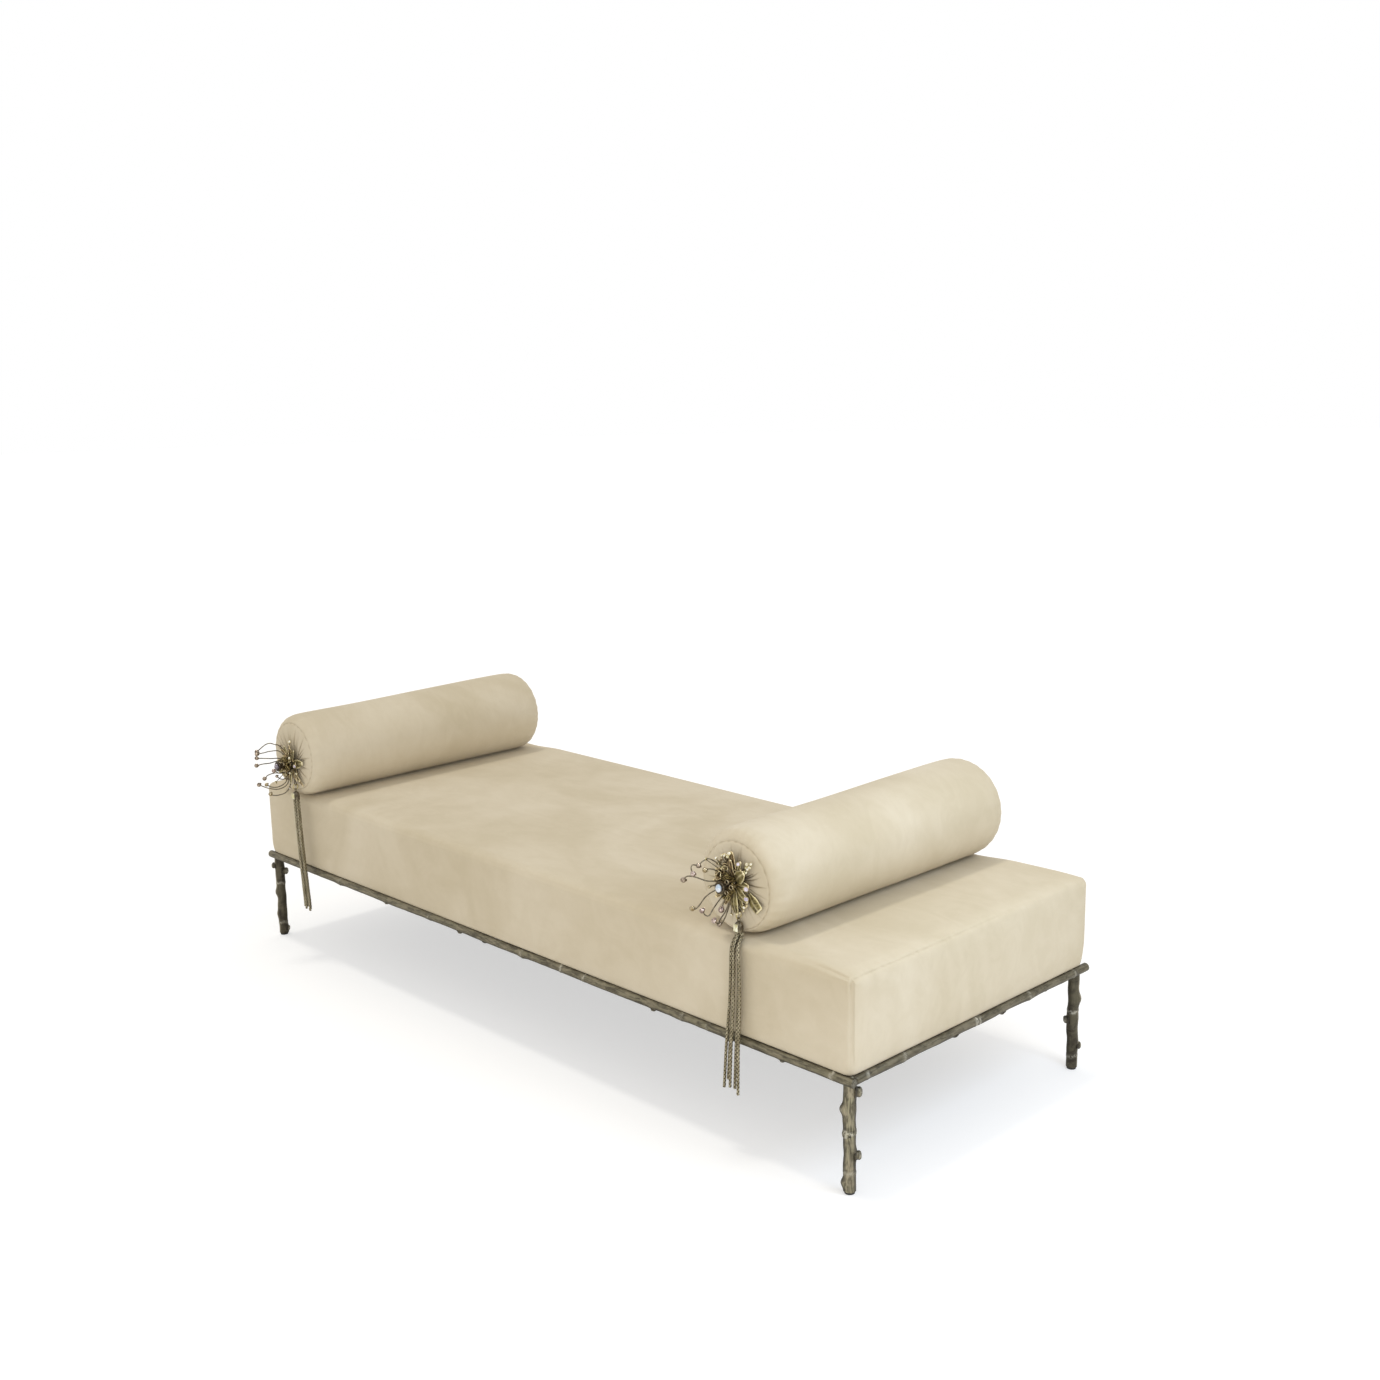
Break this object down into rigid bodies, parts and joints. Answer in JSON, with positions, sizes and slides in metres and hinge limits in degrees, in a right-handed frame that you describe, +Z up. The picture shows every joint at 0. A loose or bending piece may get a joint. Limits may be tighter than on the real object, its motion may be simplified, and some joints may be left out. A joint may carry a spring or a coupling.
{
  "type": "recamier",
  "caption": "Backless upholstered daybed on a twig-like metal base, with a loose bolster across each end that carries a flower ornament and a tassel.",
  "frame": {"origin": "on the floor, under the middle of the object's box without the tassels' strands", "axes": "+X to the right along the length, +Y from the front with the ornaments to the back, +Z up"},
  "size_m": [2.1502, 0.9308, 0.6643],
  "materials": {
    "velvet": "soft pale beige velvet with clouded nap",
    "twig_metal": "dark grey-green patinated bronze with paler specks",
    "nylon": "matte black",
    "steel": "zinc plated",
    "timber": "planed, unfinished",
    "foam": "open-cell foam",
    "lining": "black non-woven lining",
    "gilt": "aged gilt brass",
    "bronze": "aged brown bronze",
    "pearl": "blue-white pearl",
    "braid": "green-gold braided cord"
  },
  "bodies": {
    "base": {"front_rail": "twig_metal", "back_rail": "twig_metal", "left_rail": "twig_metal", "right_rail": "twig_metal", "front_left_leg": "twig_metal", "front_right_leg": "twig_metal", "back_left_leg": "twig_metal", "back_right_leg": "twig_metal", "front_left_glide": "nylon", "front_right_glide": "nylon", "back_left_glide": "nylon", "back_right_glide": "nylon", "front_left_bolt": "steel", "front_right_bolt": "steel", "back_left_bolt": "steel", "back_right_bolt": "steel", "front_board": "timber", "back_board": "timber", "left_board": "timber", "right_board": "timber", "cross_slat_1": "timber", "cross_slat_2": "timber", "cross_slat_3": "timber", "deck_panel": "timber", "seat_foam": "foam", "seat_cover": "velvet", "dust_cover": "lining"},
    "left_bolster": {"left_bolster_cover": "velvet", "left_bolster_core": "foam", "left_bolster_button": "velvet", "left_ornament_plate": "bronze", "left_leaf_spray": "gilt", "left_stamens": "bronze", "left_tube_cluster": "gilt", "left_pearl_setting": "bronze", "left_pearl": "pearl"},
    "left_ring": {"left_tassel_ring": "gilt"},
    "left_tassel": {"left_tassel_cap": "gilt", "left_tassel_strand_1": "braid", "left_tassel_strand_2": "braid", "left_tassel_strand_3": "braid", "left_tassel_strand_4": "braid", "left_tassel_strand_5": "braid"},
    "right_bolster": {"right_bolster_cover": "velvet", "right_bolster_core": "foam", "right_bolster_button": "velvet", "right_ornament_plate": "bronze", "right_leaf_spray": "gilt", "right_stamens": "bronze", "right_tube_cluster": "gilt", "right_pearl_setting": "bronze", "right_pearl": "pearl"},
    "right_ring": {"right_tassel_ring": "gilt"},
    "right_tassel": {"right_tassel_cap": "gilt", "right_tassel_strand_1": "braid", "right_tassel_strand_2": "braid", "right_tassel_strand_3": "braid", "right_tassel_strand_4": "braid", "right_tassel_strand_5": "braid"}
  },
  "joints": [
    {"name": "left_bolster_lift", "type": "slide", "parent": "base", "child": "left_bolster", "axis": [0, 0, 1], "range_m": [0, 0.4]},
    {"name": "right_bolster_lift", "type": "slide", "parent": "base", "child": "right_bolster", "axis": [0, 0, 1], "range_m": [0, 0.4]},
    {"name": "left_ring_swing", "type": "hinge", "parent": "left_bolster", "child": "left_ring", "pos_m": [-0.85708, -0.37165, 0.4783], "axis": [-1, 0, 0], "range_deg": [0, 40]},
    {"name": "left_tassel_sway", "type": "hinge", "parent": "left_ring", "child": "left_tassel", "pos_m": [-0.85708, -0.37165, 0.4668], "axis": [0, 1, 0], "range_deg": [-20, 20]},
    {"name": "right_ring_swing", "type": "hinge", "parent": "right_bolster", "child": "right_ring", "pos_m": [0.76392, -0.33265, 0.4973], "axis": [-1, 0, 0], "range_deg": [0, 40]},
    {"name": "right_tassel_sway", "type": "hinge", "parent": "right_ring", "child": "right_tassel", "pos_m": [0.76392, -0.33265, 0.4858], "axis": [0, 1, 0], "range_deg": [-20, 20]}
  ]
}
